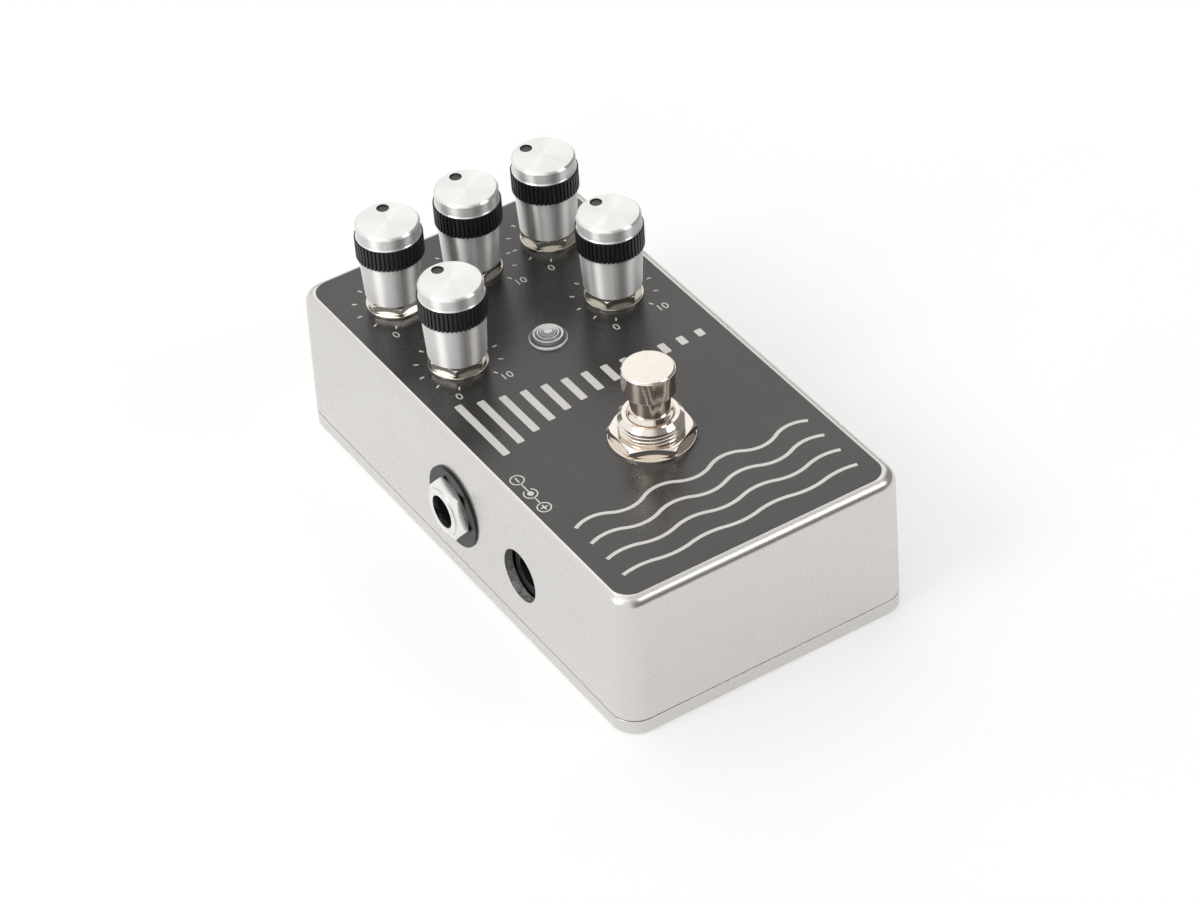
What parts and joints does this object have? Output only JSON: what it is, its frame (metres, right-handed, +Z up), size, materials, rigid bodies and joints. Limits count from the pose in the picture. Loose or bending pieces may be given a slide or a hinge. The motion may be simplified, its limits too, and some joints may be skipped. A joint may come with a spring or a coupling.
{
  "type": "delay pedal",
  "caption": "Small die-cast delay pedal with turned knobs in black fluted grips, a ringed lamp lens, a plunger footswitch, plug sockets in the side walls and a power inlet.",
  "frame": {"origin": "centre of the lid's underside, on the surface that the pedal stands on", "axes": "+X to the player's right, +Y away from the player toward the knobs, +Z up out of the panel"},
  "size_m": [0.0654, 0.1122, 0.0495],
  "materials": {
    "silver_coat": "silver metallic powder coat on die-cast metal",
    "screw_steel": "plain zinc plated",
    "knob_aluminium": "turned and polished, spun top",
    "grip_rubber": "black, fluted",
    "pot_plastic": "moulded",
    "pot_metal": "dull plated",
    "nut_nickel": "nickel plated",
    "lens_clear": "clear, ringed",
    "lamp_clear": "clear",
    "switch_chrome": "bright nickel",
    "switch_plastic": "moulded",
    "contact_brass": "plain",
    "wire_plastic": "insulated wire",
    "jack_plastic": "black moulded",
    "jack_washer_plastic": "black",
    "jack_nickel": "bright nickel",
    "board_laminate": "green solder mask",
    "chip_plastic": "black epoxy",
    "capacitor_sleeve": "sleeved"
  },
  "bodies": {
    "base": {"enclosure": "silver_coat", "bottom_lid": "silver_coat", "lid_screws": "screw_steel", "footswitch_frame": "screw_steel", "footswitch_spring": "screw_steel", "pot_housing_1": "pot_plastic", "pot_housing_2": "pot_plastic", "pot_housing_3": "pot_plastic", "pot_housing_4": "pot_plastic", "pot_housing_5": "pot_plastic", "pot_bushings": "pot_metal", "pot_terminals": "pot_metal", "pot_nuts": "nut_nickel", "pot_washers": "nut_nickel", "led_lens": "lens_clear", "status_led": "lamp_clear", "footswitch_bushing": "switch_chrome", "footswitch_nut": "switch_chrome", "footswitch_washer": "switch_chrome", "footswitch_inner_nut": "switch_chrome", "footswitch_housing": "switch_plastic", "footswitch_lugs": "contact_brass", "output_jack_contacts": "contact_brass", "input_jack_contacts": "contact_brass", "dc_jack_pin": "contact_brass", "dc_jack_terminals": "contact_brass", "switch_wires": "wire_plastic", "output_jack_body": "jack_plastic", "input_jack_body": "jack_plastic", "dc_jack_body": "jack_plastic", "jack_washers": "jack_washer_plastic", "output_jack_bushing": "jack_nickel", "input_jack_bushing": "jack_nickel", "jack_nuts": "jack_nickel", "main_board": "board_laminate", "board_chips": "chip_plastic", "board_capacitors": "capacitor_sleeve"},
    "knob_1_body": {"knob_1": "knob_aluminium", "grip_ring_1": "grip_rubber", "set_screw_1": "screw_steel", "pot_shaft_1": "pot_metal"},
    "knob_2_body": {"knob_2": "knob_aluminium", "grip_ring_2": "grip_rubber", "set_screw_2": "screw_steel", "pot_shaft_2": "pot_metal"},
    "knob_3_body": {"knob_3": "knob_aluminium", "grip_ring_3": "grip_rubber", "set_screw_3": "screw_steel", "pot_shaft_3": "pot_metal"},
    "knob_4_body": {"knob_4": "knob_aluminium", "grip_ring_4": "grip_rubber", "set_screw_4": "screw_steel", "pot_shaft_4": "pot_metal"},
    "knob_5_body": {"knob_5": "knob_aluminium", "grip_ring_5": "grip_rubber", "set_screw_5": "screw_steel", "pot_shaft_5": "pot_metal"},
    "footswitch_plunger": {"footswitch_button": "switch_chrome"}
  },
  "joints": [
    {"name": "back_left_knob_turn", "type": "hinge", "parent": "base", "child": "knob_1_body", "pos_m": [-0.0169, 0.0406, 0.0333], "axis": [0, 0, 1], "range_deg": [-131, 169]},
    {"name": "back_middle_knob_turn", "type": "hinge", "parent": "base", "child": "knob_2_body", "pos_m": [0, 0.0406, 0.0333], "axis": [0, 0, 1], "range_deg": [-147, 153]},
    {"name": "back_right_knob_turn", "type": "hinge", "parent": "base", "child": "knob_3_body", "pos_m": [0.0169, 0.0406, 0.0333], "axis": [0, 0, 1], "range_deg": [-171, 129]},
    {"name": "second_row_right_knob_turn", "type": "hinge", "parent": "base", "child": "knob_4_body", "pos_m": [0.0169, 0.0182, 0.0333], "axis": [0, 0, 1], "range_deg": [-152, 148]},
    {"name": "second_row_left_knob_turn", "type": "hinge", "parent": "base", "child": "knob_5_body", "pos_m": [-0.0169, 0.0182, 0.0333], "axis": [0, 0, 1], "range_deg": [-154, 146]},
    {"name": "footswitch_press", "type": "slide", "parent": "base", "child": "footswitch_plunger", "axis": [0, 0, -1], "range_m": [0, 0.0025], "stiffness_N_per_m": 2000, "springref_m": -0.002, "deforming": ["footswitch_spring"]}
  ]
}
